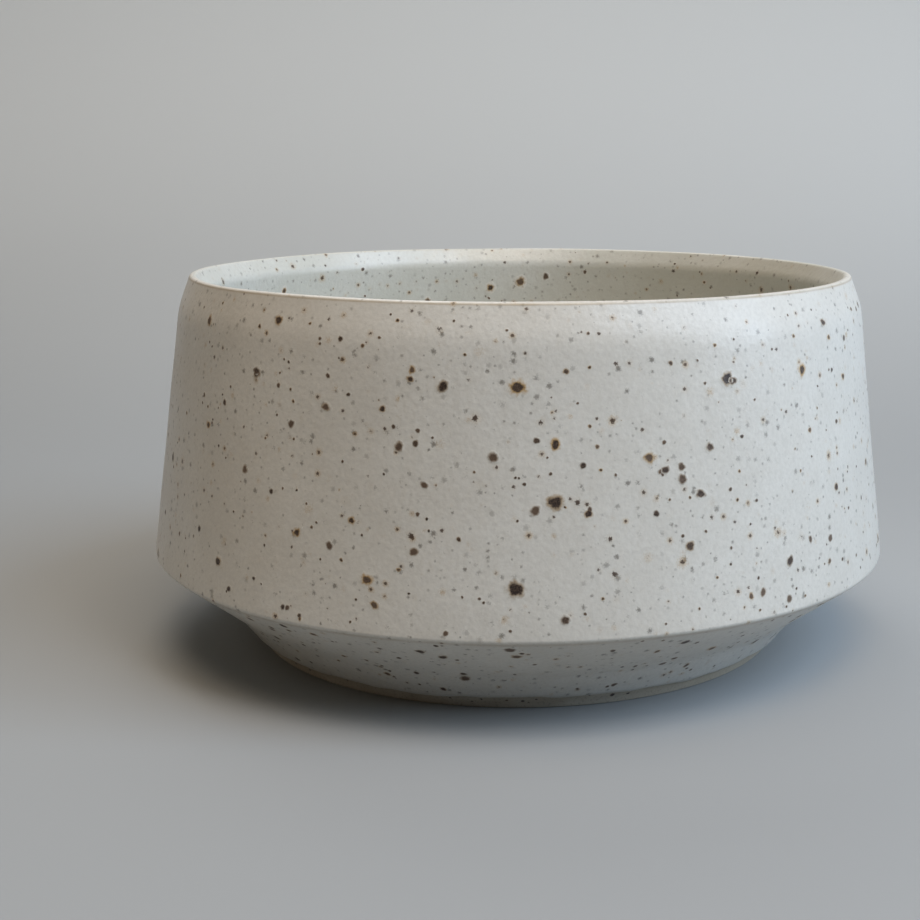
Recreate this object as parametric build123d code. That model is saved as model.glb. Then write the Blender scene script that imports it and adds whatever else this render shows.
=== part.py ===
from build123d import *

import math
import os
import random

# Wheel-thrown, trimmed and glazed stoneware yarn bowl, in millimetres.
# The origin is on the table at the middle of the foot, +Z is up and the front is towards -Y.
# The clay is one piece. It is coated by two poured glazes, outside and inside, that meet on the
# lip, and the coarse iron grains of the clay come up through the outer coat as dark spots.

# Overall form
HEIGHT = 80.0
EDGE_RADIUS = 80.0          # widest place, the turned edge low on the wall
EDGE_HEIGHT = 20.5
EDGE_ROUNDING = 0.9
WALL_LEAN = math.radians(7.2)   # the wall leans inwards above the edge
WALL_THICKNESS = 5.3

# Lip and shoulder
SHOULDER_HEIGHT = 73.0
SHOULDER_ROUNDING = 20.0
LIP_RADIUS = 70.9           # outer corner of the lip
LIP_WIDTH = 1.2
LIP_DROP = 0.1              # the outer corner is this much below the inner one
LIP_OUTER_ROUNDING = 0.7
LIP_INNER_ROUNDING = 0.8
BEVEL_HEIGHT = 3.8          # band inside the lip that faces up and in
BEVEL_ROUNDING = 3.5

# Foot and floor
FOOT_RADIUS = 57.5
FOOT_HEIGHT = 9.0
FOOT_TOP_RADIUS = 65.0
FOOT_HOLLOW = 12.0          # radius of the soft hollow between foot and undercut
FOOT_RING_WIDTH = 6.0
RECESS_DEPTH = 2.0          # trimmed hollow under the base
RECESS_STEP = 2.5
RECESS_ROUNDING = 1.5
FOOT_ROUNDING = 0.8
FLOOR_HEIGHT = 9.0
INNER_CORNER = 24.0         # radius between the inside wall and the floor

# Glaze
GLAZE_THICKNESS = 0.5
GLAZE_LINE = 2.6            # the clay is wiped bare below this height
LIP_MEETING_RADIUS = 70.3   # the two coats meet here, on top of the lip

# Middle of the clay all the way up, which parts the inner coat from the outer one
FLOOR_MIDDLE = 5.4
EDGE_MIDDLE_RADIUS = 75.0
EDGE_MIDDLE_HEIGHT = 24.0
LIP_MIDDLE_HEIGHT = 77.0
CLEARANCE = 5.0             # the region reaches this far above the lip

# The few largest iron grains on the front, roughly placed by hand: bearing from the front in
# degrees, height and diameter in millimetres
FRONT_GRAINS = [
    (-40, 65, 2.0),
    (-10, 65, 2.0),
    (0, 65, 2.4),
    (30, 65, 2.4),
    (45, 65, 2.0),
    (5, 55, 1.8),
    (5, 45, 2.8),
    (25, 45, 1.8),
    (0, 30, 2.8),
    (40, 30, 2.0),
]
SCATTERED_GRAINS = 54       # the other grains lie anywhere on the wall
GRAIN_DIAMETERS = (1.3, 2.4)
GRAIN_HEIGHTS = (27.0, 67.0)
GRAIN_SPACING = 4.0
GRAIN_DEPTH = 3.0           # length of the cutter that makes a grain's pocket


def wall_radius(height):
    """Radius of the outside wall's straight line at a height."""
    return wall_foot_radius() - (height - EDGE_HEIGHT) * math.tan(WALL_LEAN)


def wall_foot_radius():
    """Radius where wall and undercut would meet if the edge were sharp."""
    undercut = math.atan2(EDGE_HEIGHT - FOOT_HEIGHT, EDGE_RADIUS - FOOT_TOP_RADIUS)
    turn = math.pi / 2 + WALL_LEAN - undercut
    reach = EDGE_ROUNDING / math.cos(turn / 2)
    inwards = math.cos((math.pi / 2 + WALL_LEAN + undercut) / 2 - math.pi / 2)
    return EDGE_RADIUS + reach * inwards - EDGE_ROUNDING


def bowl_section():
    """Face of the whole glazed bowl, right half, in the XZ plane."""
    ring_radius = FOOT_RADIUS - FOOT_RING_WIDTH
    lip_inner = LIP_RADIUS - LIP_WIDTH
    inside_offset = WALL_THICKNESS / math.cos(WALL_LEAN)
    bevel_foot = HEIGHT - BEVEL_HEIGHT
    corners = [
        (0, RECESS_DEPTH),
        (ring_radius - RECESS_STEP, RECESS_DEPTH),
        (ring_radius, 0),
        (FOOT_RADIUS, 0),
        (FOOT_TOP_RADIUS, FOOT_HEIGHT),
        (wall_foot_radius(), EDGE_HEIGHT),
        (wall_radius(SHOULDER_HEIGHT), SHOULDER_HEIGHT),
        (LIP_RADIUS, HEIGHT - LIP_DROP),
        (lip_inner, HEIGHT),
        (wall_radius(bevel_foot) - inside_offset, bevel_foot),
        (wall_radius(FLOOR_HEIGHT) - inside_offset, FLOOR_HEIGHT),
        (0, FLOOR_HEIGHT),
    ]
    roundings = [
        RECESS_ROUNDING,
        FOOT_ROUNDING,
        FOOT_ROUNDING,
        FOOT_HOLLOW,
        EDGE_ROUNDING,
        SHOULDER_ROUNDING,
        LIP_OUTER_ROUNDING,
        LIP_INNER_ROUNDING,
        BEVEL_ROUNDING,
        INNER_CORNER,
    ]
    with BuildSketch(Plane.XZ) as section:
        with BuildLine():
            outline = FilletPolyline(*corners, radius=roundings)
            Line(outline @ 1, outline @ 0)
        make_face()
    return section.sketch


def clay_section(bowl):
    """Face of the bare clay: the bowl less its glaze, and whole below the glaze line."""
    both_halves = bowl + mirror(bowl, about=Plane.YZ)
    under_glaze = offset(both_halves, amount=-GLAZE_THICKNESS)
    right_half = Plane.XZ * Pos(EDGE_RADIUS, HEIGHT / 2) * Rectangle(2 * EDGE_RADIUS, 2 * HEIGHT)
    bare_band = Plane.XZ * Pos(EDGE_RADIUS, GLAZE_LINE / 2) * Rectangle(2 * EDGE_RADIUS, GLAZE_LINE)
    return (under_glaze & right_half) + (bowl & bare_band)


def inside_region():
    """Face that holds everything on the inner side of the middle of the wall."""
    middle_of_wall = [
        (0, FLOOR_MIDDLE),
        (FOOT_RADIUS, FLOOR_MIDDLE),
        (EDGE_MIDDLE_RADIUS, EDGE_MIDDLE_HEIGHT),
        (LIP_MEETING_RADIUS, LIP_MIDDLE_HEIGHT),
        (LIP_MEETING_RADIUS, HEIGHT + CLEARANCE),
        (0, HEIGHT + CLEARANCE),
    ]
    with BuildSketch(Plane.XZ) as region:
        with BuildLine():
            Polyline(*middle_of_wall, close=True)
        make_face()
    return region.sketch


def grain_places():
    """Bearings, heights and diameters of the grains, spaced apart all round the wall."""
    rng = random.Random(7)
    places = list(FRONT_GRAINS)
    while len(places) < len(FRONT_GRAINS) + SCATTERED_GRAINS:
        bearing = rng.uniform(0, 360)
        height = rng.uniform(*GRAIN_HEIGHTS)
        diameter = rng.uniform(*GRAIN_DIAMETERS)
        if all(grain_gap(bearing, height, other) > GRAIN_SPACING for other in places):
            places.append((bearing, height, diameter))
    return places


def grain_gap(bearing, height, other):
    """Distance along the wall between a place and another grain."""
    turn = math.radians((bearing - other[0] + 180) % 360 - 180)
    return math.hypot(wall_radius(height) * turn, height - other[1])


def grain_cutter(bearing, height, diameter):
    """Short cylinder square to the wall, through the outer glaze."""
    angle = math.radians(bearing - 90)
    radius = wall_radius(height)
    centre = Vector(radius * math.cos(angle), radius * math.sin(angle), height)
    outwards = Vector(math.cos(angle), math.sin(angle), math.tan(WALL_LEAN))
    return Plane(origin=centre, z_dir=outwards) * Cylinder(diameter / 2, GRAIN_DEPTH)


def make_parts():
    """Every separate piece of the bowl, by name."""
    bowl = bowl_section()
    clay = clay_section(bowl)
    glaze = bowl - clay
    liner = glaze & inside_region()
    body = revolve(clay, axis=Axis.Z)
    liner_glaze = revolve(liner, axis=Axis.Z)
    outer_glaze = revolve(glaze - liner, axis=Axis.Z)
    cutters = [grain_cutter(*place) for place in grain_places()]
    grains = [(outer_glaze & cutter).solids()[0] for cutter in cutters]
    outer_glaze = outer_glaze - cutters
    return {
        "stoneware_body": body,
        "outer_glaze": outer_glaze,
        "liner_glaze": liner_glaze,
        "iron_grains": Compound(children=grains),
    }


os.makedirs("parts", exist_ok=True)
for name, shape in make_parts().items():
    export_step(shape, f"parts/{name}.step")
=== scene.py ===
"""Speckled stoneware yarn bowl: clay body, two glaze coats and the iron grains, in metres."""
import bisect
import math
import random

import bpy
from mathutils import Matrix, Vector, noise


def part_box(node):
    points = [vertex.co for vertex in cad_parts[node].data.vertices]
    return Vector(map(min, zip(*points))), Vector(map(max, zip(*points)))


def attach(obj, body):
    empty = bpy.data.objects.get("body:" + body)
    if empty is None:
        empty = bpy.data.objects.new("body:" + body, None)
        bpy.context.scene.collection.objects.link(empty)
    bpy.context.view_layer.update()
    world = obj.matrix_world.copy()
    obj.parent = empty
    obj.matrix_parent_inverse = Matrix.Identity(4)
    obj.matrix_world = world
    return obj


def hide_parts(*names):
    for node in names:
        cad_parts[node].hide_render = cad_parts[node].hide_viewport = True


def srgb(red, green, blue):
    """Linear colour from ordinary screen values."""
    def linear(value):
        value /= 255
        return value / 12.92 if value <= 0.04045 else ((value + 0.055) / 1.055) ** 2.4
    return linear(red), linear(green), linear(blue), 1.0


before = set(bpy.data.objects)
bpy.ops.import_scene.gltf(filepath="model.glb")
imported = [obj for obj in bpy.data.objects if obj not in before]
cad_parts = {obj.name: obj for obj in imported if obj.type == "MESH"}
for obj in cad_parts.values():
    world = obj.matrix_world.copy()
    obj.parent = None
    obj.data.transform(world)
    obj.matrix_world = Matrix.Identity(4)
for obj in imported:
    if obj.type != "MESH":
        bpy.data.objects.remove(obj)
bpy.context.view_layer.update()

MM = 0.001

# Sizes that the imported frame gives
EDGE_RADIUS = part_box("outer_glaze")[1].x
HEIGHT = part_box("liner_glaze")[1].z
GLAZE_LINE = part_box("outer_glaze")[0].z

# The rest of the section, as designed
EDGE_HEIGHT = 20.5 * MM
EDGE_ROUNDING = 0.9 * MM
WALL_LEAN = math.radians(7.2)
WALL_THICKNESS = 5.3 * MM
SHOULDER_HEIGHT = 73 * MM
LIP_RADIUS = 70.9 * MM
LIP_WIDTH = 1.2 * MM
LIP_DROP = 0.1 * MM
LIP_MEETING_RADIUS = 70.3 * MM     # the two coats meet here
LIP_CORNER_DEPTH = 0.5 * MM  # the middle of the lip's outer corner is this much below the lip
NEAR = 1 * MM                # a place this close under the lip or floor counts as on it
BEVEL_HEIGHT = 3.8 * MM
FOOT_RADIUS = 57.5 * MM
FOOT_HEIGHT = 9 * MM
FOOT_TOP_RADIUS = 65 * MM
FOOT_RING_WIDTH = 6 * MM
RECESS_DEPTH = 2 * MM
RECESS_STEP = 2.5 * MM
FLOOR_HEIGHT = 9 * MM
FLAT_FLOOR_RADIUS = 60 * MM
GLAZE_THICKNESS = 0.35 * MM
BARE_FADE = 1 * MM           # over this height the bare foot goes in by the glaze's thickness
RECESS_ROUNDING = 1.5 * MM
FOOT_ROUNDING = 0.8 * MM
FOOT_HOLLOW = 12 * MM
SHOULDER_ROUNDING = 20 * MM
LIP_OUTER_ROUNDING = 0.7 * MM
LIP_INNER_ROUNDING = 0.8 * MM
BEVEL_ROUNDING = 3.5 * MM
INNER_CORNER = 24 * MM

# How the hand-made bowl departs from a perfect solid of revolution
RIM_TILT = 0.0075            # the lip is lower on the right, in metres per metre
TILT_POWER = 2               # and the tilt sets in this steeply with height
FRONT_DIP = 0.9 * MM         # the lip is lower at the front than at the back
DIP_POWER = 6
AXIS_LEAN = 0.012            # above the edge the bowl leans to the right
OUT_OF_ROUND = 0.003
OVAL_TURN = 0.6              # which way round the oval lies, in radians
SWELL = 0.18 * MM            # soft unevenness left by the throwing
SWELL_SCALE = 26             # its waves per metre
BAND_SHARE = 0.6             # share of flatter waves that run round the bowl
BAND_SCALE = (22, 75)        # their waves per metre, round the bowl and upwards
SWELL_FADE = (1 * MM, 8 * MM)    # heights between which the unevenness sets in
RING_PITCH = 7 * MM          # finger rings inside
RING_HEIGHT = 0.07 * MM
RING_FADE = (5 * MM, 25 * MM)    # distances from the lip between which they set in
TRIM_PITCH = 2.6 * MM        # turning marks under the base
TRIM_HEIGHT = 0.04 * MM
TRIM_FADE = (0, 10 * MM)     # distances from the middle between which they set in
GLAZE_WANDER = 0.5 * MM      # how far the wiped glaze line strays
# its waves: how many go round the bowl, where they start and their share
WANDER_WAVES = ((3, 0.4, 0.3), (7, 1.1, 0.5), (13, 2.3, 0.4), (29, 0.2, 0.35), (53, 4.0, 0.2))
WANDER_FADE = (3 * MM, 9 * MM)   # distances above the line over which the straying dies out
GLAZE_BEAD = 0.1 * MM        # the glaze stands up a little along that line
# end of the coat: distance along the clay, and height as a share of the thickness under the
# glaze's level or of the bead above it
GLAZE_END = ((0.1 * MM, -0.6), (0.3 * MM, -0.1), (0.7 * MM, 0.7), (1.2 * MM, 1.0), (2.0 * MM, 0.6))

# Mesh fineness
COLUMNS = 480
BODY_COLUMNS = 288
ROW_STEP = 1.3 * MM
HIDDEN_STEP = 6 * MM
ARC_STEP = math.radians(7)
FIND_STEP = 0.05 * MM
SAME_PLACE = 0.05 * MM       # points of the outline closer than this to a row's end are left out
ON_AXIS = 0.02 * MM          # a row nearer to the axis than this shrinks to a point
SHARP_ANGLE = math.radians(35)
FINE_STEP = 0.15 * MM        # across the lip's corner and the edge, where the glaze breaks thin
FINE_LIP = range(-4, 3)      # steps from the corner that get a row
FINE_EDGE = range(-12, 4, 2)

# Large iron grains on the front, roughly placed: bearing from the front in degrees,
# height and diameter in millimetres, and how ochre the halo round the grain is
FRONT_GRAINS = [
    (-40, 65, 2.0, 0.2),
    (-10, 65, 2.0, 0.2),
    (0, 65, 2.4, 0.9),
    (30, 65, 2.4, 0.3),
    (45, 65, 2.0, 1.0),
    (5, 55, 1.8, 1.0),
    (5, 45, 2.8, 0.4),
    (25, 45, 1.8, 0.1),
    (0, 30, 2.8, 0.3),
    (40, 30, 2.0, 0.1),
]
# The rest: how many, and their smallest and largest radius
WALL_GRAINS = (560, 0.25 * MM, 0.95 * MM)
UNDERCUT_GRAINS = (250, 0.35 * MM, 1.1 * MM)
BARE_GRAINS = (36, 0.3 * MM, 0.8 * MM)
INSIDE_GRAINS = (330, 0.32 * MM, 1.25 * MM)
GRAIN_SEED = 7
TRIES = 6                    # places tried for each grain
EDGE_MARGIN = 1 * MM         # no grain this close to the edge,
GLAZE_MARGIN = 2 * MM        # above the glaze line,
LIP_MARGIN = 3 * MM          # below the lip outside
LINER_MARGIN = 2 * MM        # or inside
BARE_BAND = (-2 * MM, -0.6 * MM)     # from the glaze line, where the bare clay has grains
DARK_TONE = 0.4              # the listed grains are no paler than this
CRATER_SIZE = 0.8 * MM       # a grain with a larger radius has sunk into a crater
MAP_CELLS = 6                # tones and ochres of grain on the grains' map, each way

# Maps for the baked textures
WALL_STRIPS = 2              # a wall is cut into this many strips
MAP_GAP = 0.02               # free share at both sides of a strip
CELL_REACH = 1.5             # a grain's cell of the map holds this many times its radius
MAP_NUDGE = 1e-6             # keeps a face's corners on the face's own side of a cut

# Colours
GLAZE = srgb(214, 211, 202)
GLAZE_SHADE = srgb(205, 201, 191)
# The inside coat is the same off-white glaze, painted a little darker than the outside coat: painted
# shade inside the bowl.
LINER_GLAZE_AND_PAINTED_SHADE = srgb(205, 204, 195)
LINER_CLOUD_AND_PAINTED_SHADE = srgb(196, 195, 184)
GLAZE_GREY = srgb(190, 186, 176)
FLECK = srgb(130, 125, 116)
SPECK = srgb(74, 58, 47)
HALO = srgb(178, 146, 96)
GREY_HALO = srgb(158, 148, 134)
THIN_GLAZE = srgb(168, 151, 124)
IRON = srgb(40, 28, 22)
IRON_PALE = srgb(98, 80, 64)
CLAY = srgb(196, 188, 172)
CLAY_WARM = srgb(186, 175, 156)
CLAY_DARK = srgb(148, 136, 118)
PAPER = srgb(156, 159, 160)
# Paler paper far behind the bowl: painted light on the backdrop.
FAR_PAPER_PAINTED_LIGHT = srgb(212, 214, 212)

# Spots in the glaze colour: spacing, largest radius, share of them that show, and strength
FLECKS = ((1.5 * MM, 0.34 * MM, 0.9, 0.8), (2.0 * MM, 0.6 * MM, 0.95, 0.95))
SPECKS = ((2.5 * MM, 0.4 * MM, 0.9, 0.9), (6 * MM, 0.6 * MM, 0.9, 0.95))

# Where the glaze breaks thin: how much, and over what width
THIN_LIP = (0.8, 0.2 * MM)
THIN_EDGE = (0.5, 0.6 * MM)

# Iron specks in the bare clay: spacing, largest radius and share of them that show
CLAY_SPECKS = (3 * MM, 0.4 * MM, 0.6)

# Glaze surface
GLAZE_ROUGHNESS = 0.34
ROUGHNESS_SPREAD = 0.05
IRON_ROUGHNESS = 0.45
ORANGE_PEEL = 0.075 * MM
GLAZE_WAVES = 0.12 * MM
RELIEF_UNIT = 0.1 * MM

# Scales of the noise patterns, per metre
CLOUD_SCALE = 38
SHEEN_SCALE = 70
THIN_SCALE = 240
WAVE_SCALE = 160
PEEL_SCALE = 900
DUST_SCALE = 1500
HALO_SCALE = 1300
MOTTLE_SCALE = 3400
CLAY_CLOUD_SCALE = 60
GROG_SCALE = 1900
CLAY_SHEEN_SCALE = 300
CLAY_TOOTH_SCALE = 1400
CLAY_TOOTH = 0.05 * MM       # height of the bare clay's fine roughness

# Floor sweeping up into the backdrop
SWEEP_START = 0.22
SWEEP = 0.95
SWEEP_STEPS = 24
PAPER_PAINTED_LIGHT_FADE = (0.1, 0.8)      # painted light: the paper gets paler between these distances behind the bowl
PAPER_ROUGHNESS = 0.9
FLOOR_REACH = 3.5            # how far the paper runs forward, to the sides and up

# Studio: name, bearing from the front in degrees, distance, height, size, power, colour and spread
SKY = (0.65, 0.8, 1.0)
WARM = (1.0, 0.82, 0.63)
WHITE = (1.0, 1.0, 1.0)
LAMPS = (
    ("key", 60, 0.8, 0.8, (0.8, 0.6), 9.0, SKY, 180),
    ("window", 75, 0.9, 0.3, (0.3, 0.3), 2.0, SKY, 180),
    ("right", 105, 0.9, 0.35, (0.7, 0.7), 1.5, SKY, 180),
    ("fill", -75, 0.9, 0.25, (0.8, 0.5), 0.5, WARM, 180),
    ("top", 0, 0.15, 1.2, (1.0, 0.8), 4.0, WARM, 180),
    ("top_front", 15, 0.5, 0.9, (0.6, 0.4), 3.5, WARM, 180),
    ("back", -160, 0.45, 0.6, (0.4, 0.4), 0.25, WHITE, 80),
)
WALL_LAMP = ("wall", 180, 0.25, 1.2, (1.6, 0.4), 4.0, WHITE, 180)
WALL_AIM = Vector((0, 1.2, 1.0))
BOWL_AIM = Vector((0, 0, 0.04))
AIR_COLOUR = (1.0, 1.0, 1.0, 1.0)
AIR_STRENGTH = 0.02
CAMERA_PLACE = (0, -0.3254, 0.1031)
CAMERA_TURN = math.radians(2.17)
CAMERA_TILT = math.radians(78.5)
CAMERA_ROLL = math.radians(-0.55)
LENS = 57.68
SENSOR = 36


# ---------------------------------------------------------------- the section

def rounded(corners, roundings):
    """Points (radius, height) along straight runs joined by tangent arcs, one for each inner corner."""
    points = [Vector(corners[0])]
    for before, here, after, rounding in zip(corners, corners[1:], corners[2:], roundings):
        here = Vector(here)
        way_in = (here - Vector(before)).normalized()
        way_out = (Vector(after) - here).normalized()
        turn = math.atan2(way_in.cross(way_out), way_in.dot(way_out))
        start = here - way_in * rounding * math.tan(abs(turn) / 2)
        side = Vector((-way_in.y, way_in.x)) * math.copysign(rounding, turn)
        steps = math.ceil(max(abs(turn) / ARC_STEP, rounding * abs(turn) / ROW_STEP))
        for i in range(steps + 1):
            angle = turn * i / steps
            spoke = Vector((
                -side.x * math.cos(angle) + side.y * math.sin(angle),
                -side.x * math.sin(angle) - side.y * math.cos(angle),
            ))
            points.append(start + side + spoke)
    points.append(Vector(corners[-1]))
    return points


def edge_corner():
    """Radius at which wall and undercut would meet if the edge weren't rounded."""
    undercut = math.atan2(EDGE_HEIGHT - FOOT_HEIGHT, EDGE_RADIUS - FOOT_TOP_RADIUS)
    turn = math.pi / 2 + WALL_LEAN - undercut
    middle = (WALL_LEAN + undercut - math.pi / 2) / 2
    return EDGE_RADIUS + EDGE_ROUNDING * (math.cos(middle) / math.cos(turn / 2) - 1)


def wall_radius(height):
    """Radius of the outside wall's straight line."""
    return edge_corner() - (height - EDGE_HEIGHT) * math.tan(WALL_LEAN)


class Outline:
    """The bowl's section from under the base, up the outside, over the lip and down to the floor."""

    def __init__(self):
        ring = FOOT_RADIUS - FOOT_RING_WIDTH
        inset = WALL_THICKNESS / math.cos(WALL_LEAN)
        bevel = HEIGHT - BEVEL_HEIGHT
        self.points = rounded([
            (0, RECESS_DEPTH),
            (ring - RECESS_STEP, RECESS_DEPTH),
            (ring, 0),
            (FOOT_RADIUS, 0),
            (FOOT_TOP_RADIUS, FOOT_HEIGHT),
            (edge_corner(), EDGE_HEIGHT),
            (wall_radius(SHOULDER_HEIGHT), SHOULDER_HEIGHT),
            (LIP_RADIUS, HEIGHT - LIP_DROP),
            (LIP_RADIUS - LIP_WIDTH, HEIGHT),
            (wall_radius(bevel) - inset, bevel),
            (wall_radius(FLOOR_HEIGHT) - inset, FLOOR_HEIGHT),
            (0, FLOOR_HEIGHT),
        ], [
            RECESS_ROUNDING,
            FOOT_ROUNDING,
            FOOT_ROUNDING,
            FOOT_HOLLOW,
            EDGE_ROUNDING,
            SHOULDER_ROUNDING,
            LIP_OUTER_ROUNDING,
            LIP_INNER_ROUNDING,
            BEVEL_ROUNDING,
            INNER_CORNER,
        ])
        self.reach = [0.0]
        for a, b in zip(self.points, self.points[1:]):
            self.reach.append(self.reach[-1] + (b - a).length)
        self.length = self.reach[-1]
        self.glaze_line = self.find(lambda p: p.x > ring and p.y > GLAZE_LINE)
        self.edge = self.find(lambda p: p.y > EDGE_HEIGHT)
        self.lip_corner = self.find(lambda p: p.y > HEIGHT - LIP_CORNER_DEPTH)
        self.lip = self.find(lambda p: p.y > HEIGHT - NEAR and p.x < LIP_MEETING_RADIUS)
        self.floor = self.find(lambda p: p.y > FLOOR_HEIGHT - NEAR and p.x < FLAT_FLOOR_RADIUS)

    def at(self, s):
        """Point and outward normal at distance s from the middle of the base."""
        s = min(max(s, 0.0), self.length)
        i = min(max(bisect.bisect_right(self.reach, s) - 1, 0), len(self.points) - 2)
        share = (s - self.reach[i]) / (self.reach[i + 1] - self.reach[i])
        a = self.tangent(i)
        b = self.tangent(i + 1)
        along = a.lerp(b, share).normalized()
        return self.points[i].lerp(self.points[i + 1], share), Vector((along.y, -along.x))

    def tangent(self, i):
        """Direction of travel at one of the outline's own points."""
        a = self.points[max(i - 1, 0)]
        b = self.points[min(i + 1, len(self.points) - 1)]
        return (b - a).normalized()

    def find(self, wanted):
        """Distance at which wanted(point) first holds, to a twentieth of a millimetre."""
        steps = math.ceil(self.length / FIND_STEP)
        return next(i * FIND_STEP for i in range(steps) if wanted(self.at(i * FIND_STEP)[0]))

    def rows(self, start, end, step):
        """Distances from start to end, at the outline's own points and no further apart than step."""
        own = [s for s in self.reach if start + SAME_PLACE < s < end - SAME_PLACE]
        stops = [start] + own + [end]
        rows = [start]
        for a, b in zip(stops, stops[1:]):
            pieces = math.ceil((b - a) / step)
            rows += [a + (b - a) * (i + 1) / pieces for i in range(pieces)]
        return rows


OUTLINE = Outline()


# ---------------------------------------------------------------- the hand-made surface

def smooth(value, low, high):
    """0 below low, 1 above high and a smooth step between."""
    share = min(max((value - low) / (high - low), 0.0), 1.0)
    return share * share * (3 - 2 * share)


def swell(angle, s, point):
    """How far the surface stands off the true section: soft waves, finger rings and turning marks."""
    place = Vector((point.x * math.sin(angle), point.x * math.cos(angle), point.y))
    round_bowl, upwards = BAND_SCALE
    band = Vector((place.x * round_bowl, place.y * round_bowl, place.z * upwards))
    waves = noise.noise(place * SWELL_SCALE) + BAND_SHARE * noise.noise(band)
    out = SWELL * waves * smooth(point.y, *SWELL_FADE)
    inwards = s - OUTLINE.lip
    if inwards > RING_FADE[0]:
        ring = math.sin(2 * math.pi * (OUTLINE.length - s) / RING_PITCH + angle)
        out += RING_HEIGHT * ring * smooth(inwards, *RING_FADE)
    if s < FOOT_RADIUS - FOOT_RING_WIDTH - RECESS_STEP:
        out += TRIM_HEIGHT * math.sin(2 * math.pi * s / TRIM_PITCH) * smooth(s, *TRIM_FADE)
    return out


def surface(angle, s, lift=0.0):
    """Place in space of the glazed surface. Angle 0 is the front and turns towards the right."""
    point, normal = OUTLINE.at(s)
    point = point + normal * (lift + swell(angle, s, point))
    radius = max(point.x, 0.0) * (1 + OUT_OF_ROUND * math.cos(2 * angle + OVAL_TURN))
    x = radius * math.sin(angle) + AXIS_LEAN * max(point.y - EDGE_HEIGHT, 0.0)
    up = point.y / HEIGHT
    drop = RIM_TILT * x * up ** TILT_POWER
    drop += FRONT_DIP * (1 + math.cos(angle)) / 2 * up ** DIP_POWER
    return Vector((x, -radius * math.cos(angle), point.y - drop))


def bare_lift(s):
    """How far the bare clay lies under the level of the glaze."""
    point = OUTLINE.at(s)[0]
    if point.x < FOOT_RADIUS - FOOT_RING_WIDTH:
        return 0.0
    return -GLAZE_THICKNESS * smooth(point.y, 0, BARE_FADE)


def wander(angle):
    """How far the glaze line strays from its height at an angle."""
    waves = [share * math.sin(turns * angle + shift) for turns, shift, share in WANDER_WAVES]
    return GLAZE_WANDER * sum(waves)


# ---------------------------------------------------------------- shells of revolution

class Row:
    """One ring of a shell: where it runs, how far off the surface, and its place on the bake's map."""

    def __init__(self, s, lift, zone, share, follow=0.0):
        self.s = s
        self.lift = lift
        self.zone = zone
        self.share = share
        self.follow = follow      # how far the row follows the wandering glaze line


def strip_uv(strips, low, high):
    """Map for a wall: it is cut into strips, stacked between two heights of the map."""
    def uv(turn, share):
        strip = min(int(turn * strips), strips - 1)
        height = (high - low) / strips
        return turn * strips - strip, low + height * (strip + MAP_GAP + (1 - 2 * MAP_GAP) * share)
    return uv


def disc_uv(centre, size):
    """Map for a floor or base, seen flat."""
    def uv(turn, share):
        angle = 2 * math.pi * turn
        return centre[0] + size * share * math.sin(angle), centre[1] + size * share * math.cos(angle)
    return uv


def on_axis(row):
    """Whether a row is a single point on the axis."""
    return OUTLINE.at(row.s)[0].x < ON_AXIS


def revolve(name, rows, columns, zones):
    """Closed mesh through the rows, which make a loop. Rows on the axis shrink to one point."""
    poles = [on_axis(row) for row in rows]
    points = []
    first = []
    for row, pole in zip(rows, poles):
        first.append(len(points))
        for i in range(1 if pole else columns):
            angle = 2 * math.pi * i / columns
            points.append(surface(angle, row.s + row.follow * wander(angle), row.lift))
    faces = []
    maps = []
    for j, row in enumerate(rows):
        k = (j + 1) % len(rows)
        if poles[j] and poles[k]:
            continue
        zone = row.zone if row.zone == rows[k].zone else "hidden"
        for i in range(columns):
            n = (i + 1) % columns
            corners = [(j, i, i), (j, n, i + 1), (k, n, i + 1), (k, i, i)]
            if poles[j]:
                corners.pop(1)
            elif poles[k]:
                corners.pop(3)
            faces.append([first[r] + (0 if poles[r] else c) for r, c, _ in corners])
            middle = (i + 0.5) / columns
            for r, _, turn in corners:
                maps.append(corner_uv(zones[zone], rows[r], turn / columns, middle, poles[r]))
    return make_mesh(name, points, faces, maps)


def corner_uv(zone, row, turn, middle, pole):
    """Place on the map of one corner, kept on the same strip as the middle of its face."""
    return zone(middle if pole else turn + MAP_NUDGE * (middle - turn), row.share)


def make_mesh(name, points, faces, maps):
    """Object with a map for its baked textures, smooth but for its real edges."""
    mesh = bpy.data.meshes.new(name)
    mesh.from_pydata([tuple(p) for p in points], [], faces)
    layer = mesh.uv_layers.new(name="OFBake")
    layer.data.foreach_set("uv", [value for uv in maps for value in uv])
    mesh.set_sharp_from_angle(angle=SHARP_ANGLE)
    mesh.validate()
    piece = bpy.data.objects.new(name, mesh)
    bpy.context.scene.collection.objects.link(piece)
    return piece


def thinness(s):
    """1 where the glaze breaks thin over the lip's outer corner and the edge, 0 elsewhere."""
    return sum(
        share * math.exp(-((s - place) / width) ** 2)
        for place, share, width in (
            (OUTLINE.lip_corner, *THIN_LIP),
            (OUTLINE.edge - EDGE_ROUNDING, *THIN_EDGE),
        )
    )


def mark_thin(piece, rows, columns):
    """Stores the glaze's thinness on each point of a shell."""
    values = []
    for row in rows:
        values += [thinness(row.s)] * (1 if on_axis(row) else columns)
    piece.data.attributes.new("thin", "FLOAT", "POINT").data.foreach_set("value", values)


def settle(piece, node):
    """Ties a finished piece to the CAD: it rides on the one body and stands for its node."""
    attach(piece, "root")
    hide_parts(node)


def hidden_rows(start, end):
    """Rows along the back of a coat, where it lies on the clay."""
    stops = OUTLINE.rows(min(start, end), max(start, end), HIDDEN_STEP)
    if start > end:
        stops.reverse()
    return [Row(s, -GLAZE_THICKNESS, "hidden", i / (len(stops) - 1)) for i, s in enumerate(stops)]


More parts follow.
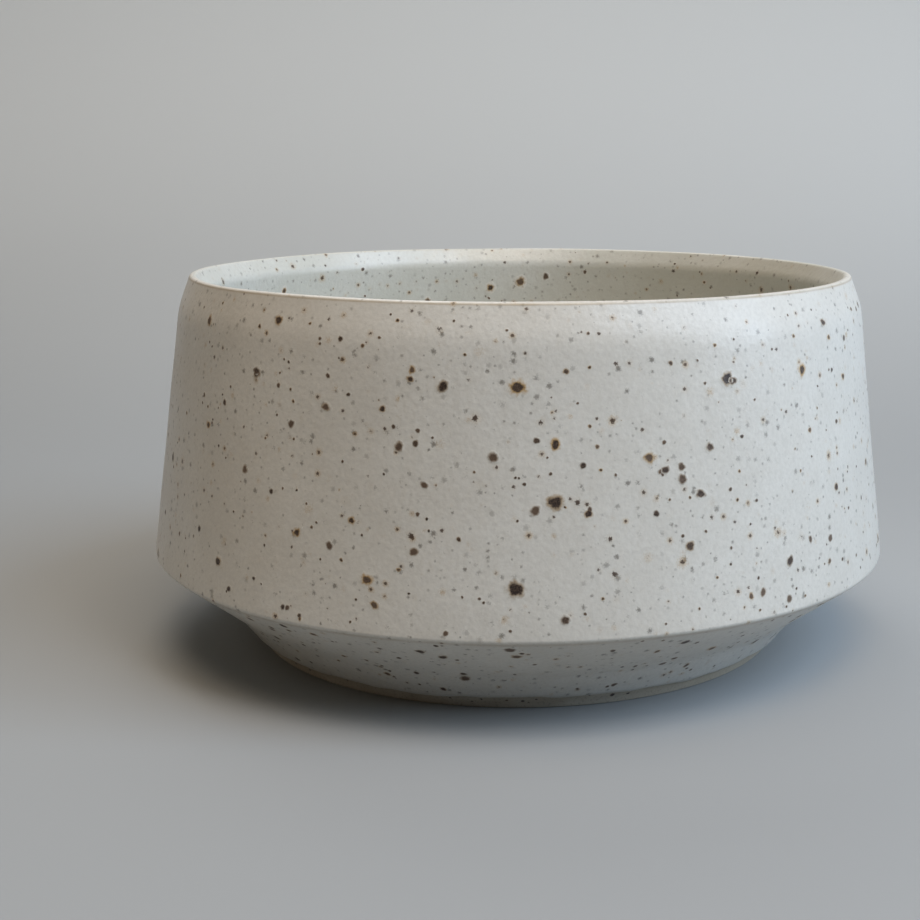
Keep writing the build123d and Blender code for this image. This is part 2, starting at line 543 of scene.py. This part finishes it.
def outer_glaze():
    """The outside coat, from its wandering lower line to the top of the lip."""
    line, lip = OUTLINE.glaze_line, OUTLINE.lip
    rows = []
    for along, lift in GLAZE_END:
        height = lift * GLAZE_BEAD if lift > 0 else lift * GLAZE_THICKNESS
        rows.append(Row(line + along, height, "wall", 0, 1.0))
    stops = OUTLINE.rows(line + WANDER_FADE[0], lip, ROW_STEP)
    stops += [OUTLINE.lip_corner + step * FINE_STEP for step in FINE_LIP]
    stops += [OUTLINE.edge + step * FINE_STEP for step in FINE_EDGE]
    for s in sorted(set(stops)):
        rows.append(Row(s, 0.0, "wall", 0, 1 - smooth(s - line, *WANDER_FADE)))
    for row in rows:
        row.share = (row.s - line) / (lip - line)
    back = hidden_rows(lip, line)
    back[-1].follow = 1.0
    rows += back
    zones = {"wall": strip_uv(WALL_STRIPS, 0.0, 0.97), "hidden": strip_uv(1, 0.975, 1.0)}
    piece = revolve("glazed_outside", rows, COLUMNS, zones)
    mark_thin(piece, rows, COLUMNS)
    settle(piece, "outer_glaze")
    return piece


def liner_glaze():
    """The inside coat, from the top of the lip down the wall and across the floor."""
    start, floor, end = OUTLINE.lip, OUTLINE.floor, OUTLINE.length
    rows = []
    for s in OUTLINE.rows(start, floor, ROW_STEP):
        rows.append(Row(s, 0.0, "wall", (s - start) / (floor - start)))
    for s in OUTLINE.rows(floor, end, ROW_STEP):
        rows.append(Row(s, 0.0, "floor", (end - s) / (end - floor)))
    rows += hidden_rows(end, start)
    zones = {
        "wall": strip_uv(WALL_STRIPS, 0.0, 0.64),
        "floor": disc_uv((0.18, 0.82), 0.17),
        "hidden": strip_uv(1, 0.65, 0.67),
    }
    piece = revolve("glazed_inside", rows, COLUMNS, zones)
    mark_thin(piece, rows, COLUMNS)
    settle(piece, "liner_glaze")
    return piece


def clay_body():
    """The clay under the glaze, bare on the foot and under the base."""
    bare = OUTLINE.glaze_line + WANDER_FADE[0]
    rows = []
    for s in OUTLINE.rows(0, bare, ROW_STEP):
        rows.append(Row(s, bare_lift(s), "base", s / bare))
    stops = OUTLINE.rows(bare, OUTLINE.length, HIDDEN_STEP)[1:]
    for s in stops:
        rows.append(Row(s, -GLAZE_THICKNESS, "hidden", (s - bare) / (OUTLINE.length - bare)))
    zones = {"base": disc_uv((0.5, 0.5), 0.49), "hidden": strip_uv(1, 0.0, 0.02)}
    piece = revolve("clay_body", rows, BODY_COLUMNS, zones)
    settle(piece, "stoneware_body")
    return piece


# ---------------------------------------------------------------- iron grains

class Grain:
    """One iron spot: where it lies, how big and how dark it is, and how ochre its halo."""

    def __init__(self, angle, s, size, ochre, tone):
        self.angle = angle
        self.s = s
        self.size = size
        self.ochre = ochre
        self.tone = tone


def listed_grains(rng):
    """The large grains on the front that are listed one by one."""
    found = []
    for bearing, height, diameter, ochre in FRONT_GRAINS:
        s = OUTLINE.find(lambda p: p.y > height * MM and p.x > LIP_RADIUS)
        size = diameter / 2 * MM
        tone = rng.uniform(0.0, DARK_TONE)
        found.append(Grain(math.radians(bearing), s, size, ochre, tone))
    return found


def scattered_grains(rng, low, high, count, smallest, largest):
    """Grains spread evenly by area between two distances along the outline."""
    found = []
    widest = max(OUTLINE.at(low + (high - low) * i / 20)[0].x for i in range(21))
    for _ in range(count * TRIES):
        if len(found) == count:
            break
        s = rng.uniform(low, high)
        angle = rng.uniform(-math.pi, math.pi)
        if rng.random() > OUTLINE.at(s)[0].x / widest:
            continue
        size = smallest * (largest / smallest) ** rng.random() ** 2
        ochre = rng.random() ** 3
        found.append(Grain(angle, s, size, ochre, rng.random()))
    return found


# ring as a share of the grain's radius, and how far it stands off the glaze in millimetres
BARE_PROFILE = ((0.45, 0.03), (0.8, 0.025), (1.0, 0.012))
FLAT_PROFILE = ((0.45, 0.04), (0.8, 0.035), (1.0, 0.025), (1.45, 0.012))
CRATER_PROFILE = ((0.45, 0.035), (0.8, 0.07), (1.0, 0.05), (1.45, 0.012))
GRAIN_BOTTOM = -0.12 * MM
HALO_SPREAD = 0.45           # an ochre halo reaches this much further
HALO_RING = 1.45             # where the halo ends, as a share of the radius
GRAIN_LOBES = (2, 3, 5)
LOBE_DEPTH = (0.03, 0.16)
MANY_SIDES = 16
FEW_SIDES = 11
SMALL_GRAIN = 0.6 * MM       # up to this radius a grain has few sides
TUCK = 0.05                  # a grain's lowest ring lies this much further in than its outer one


def add_grain(grain, rng, points, faces, maps, values):
    """Adds one closed, irregular lens lying on the glaze."""
    sides = MANY_SIDES if grain.size > SMALL_GRAIN else FEW_SIDES
    lobes = [(n, rng.uniform(*LOBE_DEPTH) / n ** 0.5, rng.uniform(0, 6.28)) for n in GRAIN_LOBES]
    stretch = rng.uniform(0.8, 1.0)
    lean = rng.uniform(0, math.pi)
    radius = OUTLINE.at(grain.s)[0].x
    bare = grain.s < OUTLINE.glaze_line
    ground = bare_lift(grain.s) if bare else 0.0
    glazed = CRATER_PROFILE if grain.size > CRATER_SIZE else FLAT_PROFILE
    profile = BARE_PROFILE if bare else glazed
    rings = [(share, ground + lift * MM) for share, lift in profile]
    widen = 1 + HALO_SPREAD * grain.ochre
    rings.append((profile[-1][0] - TUCK, ground + GRAIN_BOTTOM))
    first = len(points)
    points.append(surface(grain.angle, grain.s, rings[0][1]))
    values.append((0.0, grain.tone, grain.ochre))
    for share, lift in rings:
        size = grain.size * (share * widen if share > 1 else share)
        for i in range(sides):
            turn = 2 * math.pi * i / sides
            reach = size * (1 + sum(depth * math.sin(n * turn + shift) for n, depth, shift in lobes))
            across = reach * math.cos(turn)
            along = reach * math.sin(turn) * stretch
            x = across * math.cos(lean) - along * math.sin(lean)
            y = across * math.sin(lean) + along * math.cos(lean)
            points.append(surface(grain.angle + x / radius, grain.s + y, lift))
            values.append((min(share, HALO_RING), grain.tone, grain.ochre))
    points.append(surface(grain.angle, grain.s, ground + GRAIN_BOTTOM))
    values.append((HALO_RING, grain.tone, grain.ochre))
    last = len(points) - 1

    def ring(j, i):
        return first + 1 + j * sides + i % sides

    cell = grain_cell(grain)
    for i in range(sides):
        faces.append((first, ring(0, i), ring(0, i + 1)))
        maps += [cell(0, i, sides), cell(0.3, i, sides), cell(0.3, i + 1, sides)]
        for j in range(len(rings) - 1):
            faces.append((ring(j, i), ring(j + 1, i), ring(j + 1, i + 1), ring(j, i + 1)))
            inner = rings[j][0] / CELL_REACH
            outer = min(rings[j + 1][0], HALO_RING) / CELL_REACH
            maps += [cell(inner, i, sides), cell(outer, i, sides),
                     cell(outer, i + 1, sides), cell(inner, i + 1, sides)]
        faces.append((ring(len(rings) - 1, i), last, ring(len(rings) - 1, i + 1)))
        maps += [cell(0.93, i, sides), cell(0.96, i, sides), cell(0.93, i + 1, sides)]


def grain_cell(grain):
    """Grains of one tone and ochre share a square of the map, laid on top of each other."""
    across = min(int(grain.tone * MAP_CELLS), MAP_CELLS - 1)
    down = min(int(grain.ochre * MAP_CELLS), MAP_CELLS - 1)

    def place(share, i, sides):
        turn = 2 * math.pi * i / sides
        return (
            (across + 0.5 + 0.47 * share * math.cos(turn)) / MAP_CELLS,
            (down + 0.5 + 0.47 * share * math.sin(turn)) / MAP_CELLS,
        )
    return place


def iron_spots():
    """Every grain that has a shape of its own, as one piece."""
    rng = random.Random(GRAIN_SEED)
    line, edge, lip = OUTLINE.glaze_line, OUTLINE.edge, OUTLINE.lip
    grains = listed_grains(rng)
    grains += scattered_grains(rng, edge + EDGE_MARGIN, lip - LIP_MARGIN, *WALL_GRAINS)
    grains += scattered_grains(rng, line + GLAZE_MARGIN, edge - EDGE_MARGIN, *UNDERCUT_GRAINS)
    grains += scattered_grains(rng, line + BARE_BAND[0], line + BARE_BAND[1], *BARE_GRAINS)
    grains += scattered_grains(rng, lip + LINER_MARGIN, OUTLINE.length, *INSIDE_GRAINS)
    points, faces, maps, values = [], [], [], []
    for grain in grains:
        add_grain(grain, rng, points, faces, maps, values)
    piece = make_mesh("iron_spots", points, faces, maps)
    for i, name in enumerate(("ring", "tone", "ochre")):
        layer = piece.data.attributes.new(name, "FLOAT", "POINT")
        layer.data.foreach_set("value", [value[i] for value in values])
    settle(piece, "iron_grains")
    return piece


# ---------------------------------------------------------------- materials

class Shade:
    """A material being built: each call adds nodes and gives their output."""

    def __init__(self, name):
        self.material = bpy.data.materials.new(name)
        self.material.use_nodes = True
        self.tree = self.material.node_tree
        self.surface = self.tree.nodes["Principled BSDF"]
        self.place = self.tree.nodes.new("ShaderNodeTexCoord").outputs["Object"]

    def node(self, kind, inputs, output, **settings):
        made = self.tree.nodes.new("ShaderNode" + kind)
        for name, value in settings.items():
            setattr(made, name, value)
        for name, value in inputs.items():
            if isinstance(value, bpy.types.NodeSocket):
                self.tree.links.new(value, made.inputs[name])
            else:
                made.inputs[name].default_value = value
        return made.outputs[output]

    def attribute(self, name):
        return self.node("Attribute", {}, "Fac", attribute_name=name)

    def noise(self, scale, detail=2.0, rough=0.5):
        inputs = {"Vector": self.place, "Scale": scale, "Detail": detail, "Roughness": rough}
        return self.node("TexNoise", inputs, "Fac")

    def maths(self, operation, a, b=0.0):
        return self.node("Math", {0: a, 1: b}, "Value", operation=operation)

    def fade(self, value, low, high, to_low=0.0, to_high=1.0):
        """Smooth change from one value to another as the input crosses a range."""
        inputs = {"Value": value, "From Min": low, "From Max": high, "To Min": to_low, "To Max": to_high}
        return self.node("MapRange", inputs, "Result", interpolation_type="SMOOTHSTEP")

    def mix(self, share, a, b):
        made = self.tree.nodes.new("ShaderNodeMix")
        made.data_type = "RGBA"
        for socket, value in ((made.inputs[0], share), (made.inputs[6], a), (made.inputs[7], b)):
            if isinstance(value, bpy.types.NodeSocket):
                self.tree.links.new(value, socket)
            else:
                socket.default_value = value
        return made.outputs[2]

    def specks(self, cell, largest, share):
        """Spots of many sizes: distance from a spot's middle over its size, and a chance value."""
        inputs = {"Vector": self.place, "Scale": 1 / cell}
        kinds = self.node("TexVoronoi", inputs, "Color")
        distance = self.tree.nodes[-1].outputs["Distance"]
        chance = self.node("SeparateColor", {"Color": kinds}, "Red")
        other = self.tree.nodes[-1].outputs["Green"]
        size = self.fade(chance, 1 - share, 1.0, 0.0, largest / cell)
        wobble = self.fade(self.noise(2.2 / largest, 1.0), 0.3, 0.7, 0.7, 1.3)
        ragged = self.maths("MULTIPLY", distance, wobble)
        return self.maths("DIVIDE", ragged, self.maths("MAXIMUM", size, 1e-4)), other

    def relief(self, *layers):
        """Bump made of several heights, each in metres."""
        total = 0.0
        for height, size in layers:
            total = self.maths("ADD", total, self.maths("MULTIPLY", height, size / RELIEF_UNIT))
        inputs = {"Height": total, "Strength": 1.0, "Distance": RELIEF_UNIT}
        return self.node("Bump", inputs, "Normal")

    def finish(self, colour, roughness, relief):
        self.tree.links.new(colour, self.surface.inputs["Base Color"])
        self.tree.links.new(roughness, self.surface.inputs["Roughness"])
        self.tree.links.new(relief, self.surface.inputs["Normal"])
        self.surface.inputs["IOR"].default_value = 1.5
        return self.material


def glaze_colour(shade, base=GLAZE, cloudy=GLAZE_SHADE):
    """Off-white glaze with mottling, faint grey flecks, small brown specks and ochre halos."""
    cloud = shade.fade(shade.noise(CLOUD_SCALE, 5.0, 0.65), 0.3, 0.7)
    colour = shade.mix(cloud, base, cloudy)
    grain = shade.fade(shade.noise(DUST_SCALE, 2.0), 0.35, 0.75)
    colour = shade.mix(shade.maths("MULTIPLY", grain, 0.35), colour, GLAZE_GREY)
    for cell, largest, share, strength in FLECKS:
        far, other = shade.specks(cell, largest, share)
        soft = shade.fade(far, 0.3, 1.2, 1.0, 0.0)
        amount = shade.maths("MULTIPLY", soft, shade.fade(other, 0.0, 1.0, 0.35, strength))
        colour = shade.mix(amount, colour, FLECK)
    for cell, largest, share, strength in SPECKS:
        far, other = shade.specks(cell, largest, share)
        soft = shade.fade(far, 0.8, 2.3, 1.0, 0.0)
        halo = shade.maths("MULTIPLY", soft, shade.fade(other, 0.3, 1.0, 0.1, 0.55))
        colour = shade.mix(halo, colour, HALO)
        core = shade.maths("MULTIPLY", shade.fade(far, 0.55, 1.05, 1.0, 0.0), strength)
        colour = shade.mix(core, colour, SPECK)
    return colour


def glaze_relief(shade):
    """Fine orange peel over slow waves."""
    peel = (shade.noise(PEEL_SCALE, 2.0), ORANGE_PEEL)
    return shade.relief(peel, (shade.noise(WAVE_SCALE, 2.0), GLAZE_WAVES))


def glaze_roughness(shade):
    """Sheen that varies a little from place to place."""
    low, high = GLAZE_ROUGHNESS - ROUGHNESS_SPREAD, GLAZE_ROUGHNESS + ROUGHNESS_SPREAD
    return shade.fade(shade.noise(SHEEN_SCALE, 3.0), 0.25, 0.75, low, high)


def glaze(name, *colours):
    """Satin glaze that breaks to tan where it runs thin."""
    shade = Shade(name)
    patchy = shade.fade(shade.noise(THIN_SCALE, 2.0), 0.3, 0.7, 0.6, 1.0)
    worn = shade.maths("MULTIPLY", shade.attribute("thin"), patchy)
    colour = shade.mix(shade.maths("MINIMUM", worn, 1.0), glaze_colour(shade, *colours), THIN_GLAZE)
    return shade.finish(colour, glaze_roughness(shade), glaze_relief(shade))


def grain_material():
    """Dark iron in the middle, a brown fringe, an ochre or grey halo, and plain glaze at the rim."""
    shade = Shade("iron_in_glaze")
    ring = shade.attribute("ring")
    ragged = shade.maths("ADD", ring, shade.fade(shade.noise(HALO_SCALE, 2.0), 0.2, 0.8, -0.16, 0.16))
    halo = shade.mix(shade.attribute("ochre"), GREY_HALO, HALO)
    colour = shade.mix(shade.fade(ragged, 0.85, 1.3), halo, glaze_colour(shade))
    mottle = shade.fade(shade.noise(MOTTLE_SCALE, 2.0), 0.42, 0.66, 0.0, 0.6)
    dark = shade.mix(shade.maths("ADD", shade.attribute("tone"), mottle), IRON, IRON_PALE)
    colour = shade.mix(shade.fade(ragged, 0.6, 1.0), dark, colour)
    roughness = shade.fade(ring, 0.6, 1.1, IRON_ROUGHNESS, GLAZE_ROUGHNESS)
    return shade.finish(colour, roughness, glaze_relief(shade))


def clay_material():
    """Bare fired clay: matt and grogged, with a few iron specks."""
    shade = Shade("bare_stoneware")
    colour = shade.mix(shade.fade(shade.noise(CLAY_CLOUD_SCALE, 4.0, 0.6), 0.3, 0.7), CLAY, CLAY_WARM)
    colour = shade.mix(shade.fade(shade.noise(GROG_SCALE, 2.0), 0.5, 0.75, 0.0, 0.5), colour, CLAY_DARK)
    far, _ = shade.specks(*CLAY_SPECKS)
    colour = shade.mix(shade.fade(far, 0.5, 1.1, 0.85, 0.0), colour, SPECK)
    roughness = shade.fade(shade.noise(CLAY_SHEEN_SCALE, 2.0), 0.3, 0.7, 0.8, 0.92)
    tooth = (shade.noise(CLAY_TOOTH_SCALE, 3.0, 0.6), CLAY_TOOTH)
    return shade.finish(colour, roughness, shade.relief(tooth))


# ---------------------------------------------------------------- floor, light and camera

def floor_and_backdrop():
    """Pale floor that curves up behind the bowl, painted paler further back as painted light on the
    backdrop.
    """
    profile = [(-FLOOR_REACH, 0.0)]
    for i in range(SWEEP_STEPS + 1):
        turn = math.pi / 2 * i / SWEEP_STEPS
        profile.append((SWEEP_START + SWEEP * math.sin(turn), SWEEP - SWEEP * math.cos(turn)))
    profile.append((SWEEP_START + SWEEP, FLOOR_REACH))
    points = [(x, y, z) for y, z in profile for x in (-FLOOR_REACH, FLOOR_REACH)]
    faces = [(2 * i, 2 * i + 1, 2 * i + 3, 2 * i + 2) for i in range(len(profile) - 1)]
    mesh = bpy.data.meshes.new("studio_floor")
    mesh.from_pydata(points, [], faces)
    mesh.shade_smooth()
    floor = bpy.data.objects.new("studio_floor", mesh)
    bpy.context.scene.collection.objects.link(floor)
    shade = Shade("studio_paper")
    away = shade.node("SeparateXYZ", {"Vector": shade.place}, "Y")
    # Painted light: the paper is painted paler further behind the bowl, as if the backdrop were lit
    # more.
    colour = shade.mix(shade.fade(away, *PAPER_PAINTED_LIGHT_FADE), PAPER, FAR_PAPER_PAINTED_LIGHT)
    shade.tree.links.new(colour, shade.surface.inputs["Base Color"])
    shade.surface.inputs["Roughness"].default_value = PAPER_ROUGHNESS
    mesh.materials.append(shade.material)


def softbox(name, bearing, distance, height, size, power, colour, spread, aim=BOWL_AIM):
    """Rectangular area light; the bearing is measured from the front, to the right."""
    light = bpy.data.lights.new(name, "AREA")
    light.shape = "RECTANGLE"
    light.size, light.size_y = size
    light.energy = power
    light.color = colour
    light.spread = math.radians(spread)
    lamp = bpy.data.objects.new(name, light)
    angle = math.radians(bearing)
    lamp.location = (distance * math.sin(angle), -distance * math.cos(angle), height)
    lamp.rotation_euler = (aim - lamp.location).to_track_quat("-Z", "Y").to_euler()
    lamp.visible_camera = False
    bpy.context.scene.collection.objects.link(lamp)


def studio():
    """Cool key from the upper right, a warm fill from the left, soft light above and on the backdrop."""
    for lamp in LAMPS:
        softbox(*lamp)
    softbox(*WALL_LAMP, aim=WALL_AIM)
    world = bpy.data.worlds.new("studio_air")
    world.use_nodes = True
    world.node_tree.nodes["Background"].inputs["Color"].default_value = AIR_COLOUR
    world.node_tree.nodes["Background"].inputs["Strength"].default_value = AIR_STRENGTH
    bpy.context.scene.world = world


def camera():
    """Camera in front of the bowl, looking down a little."""
    lens = bpy.data.cameras.new("camera")
    lens.lens = LENS
    lens.sensor_width = SENSOR
    lens.clip_start = 0.01
    eye = bpy.data.objects.new("camera", lens)
    turn = Matrix.Rotation(CAMERA_TURN, 4, "Z") @ Matrix.Rotation(CAMERA_TILT, 4, "X")
    eye.matrix_world = Matrix.Translation(CAMERA_PLACE) @ turn @ Matrix.Rotation(CAMERA_ROLL, 4, "Z")
    bpy.context.scene.collection.objects.link(eye)
    bpy.context.scene.camera = eye


def build():
    """The bowl's pieces with their materials, then the studio round them."""
    spots = iron_spots()
    outside = outer_glaze()
    inside = liner_glaze()
    body = clay_body()
    outside.data.materials.append(glaze("satin_glaze"))
    # The inside coat's darker colours are painted shade inside the bowl, over the glaze's own off-white.
    inside.data.materials.append(glaze("satin_liner", LINER_GLAZE_AND_PAINTED_SHADE, LINER_CLOUD_AND_PAINTED_SHADE))
    spots.data.materials.append(grain_material())
    body.data.materials.append(clay_material())
    floor_and_backdrop()
    studio()
    camera()


build()
bpy.context.scene.view_settings.view_transform = "Standard"
